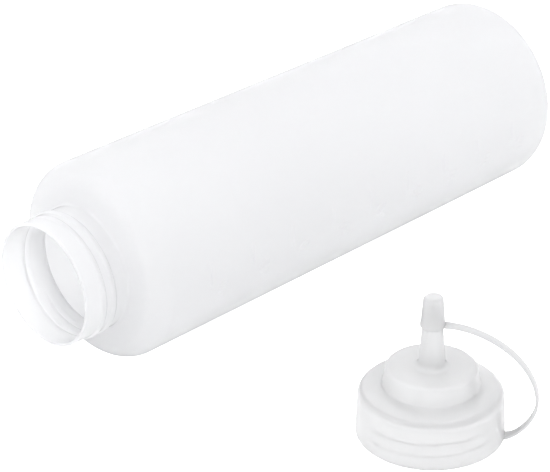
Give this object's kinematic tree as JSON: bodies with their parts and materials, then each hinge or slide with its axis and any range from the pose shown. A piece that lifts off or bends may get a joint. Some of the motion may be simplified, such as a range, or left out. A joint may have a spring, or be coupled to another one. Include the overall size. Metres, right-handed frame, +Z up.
{
  "type": "squeeze sauce bottle",
  "caption": "Lying open squeeze sauce bottle with its loose nozzle screw cap and a strapped tip cap that flips off the nozzle.",
  "frame": {"origin": "middle of the whole part's footprint, on the surface that the bottle lies on and the cap stands on", "axes": "+X along the bottle's axis out of its mouth, +Y from the bottle towards the cap, +Z up"},
  "size_m": [0.224, 0.1778, 0.07],
  "materials": {
    "bottle_plastic": "satin, milky translucent natural polyethylene",
    "cap_plastic": "satin, milky translucent natural polyethylene"
  },
  "bodies": {
    "bottle": {"bottle": "bottle_plastic"},
    "cap": {"screw_cap": "cap_plastic", "strap": "cap_plastic"},
    "tip": {"tip_cap": "cap_plastic"}
  },
  "joints": [
    {"name": "cap_lift", "type": "slide", "parent": "bottle", "child": "cap", "axis": [0, 0, 1], "range_m": [0, 0.08]},
    {"name": "tip_flip", "type": "hinge", "parent": "cap", "child": "tip", "pos_m": [0.04077, 0.07114, 0.0386], "axis": [-0.8387, -0.5446, 0], "range_deg": [0, 130], "deforming": ["strap"]}
  ]
}
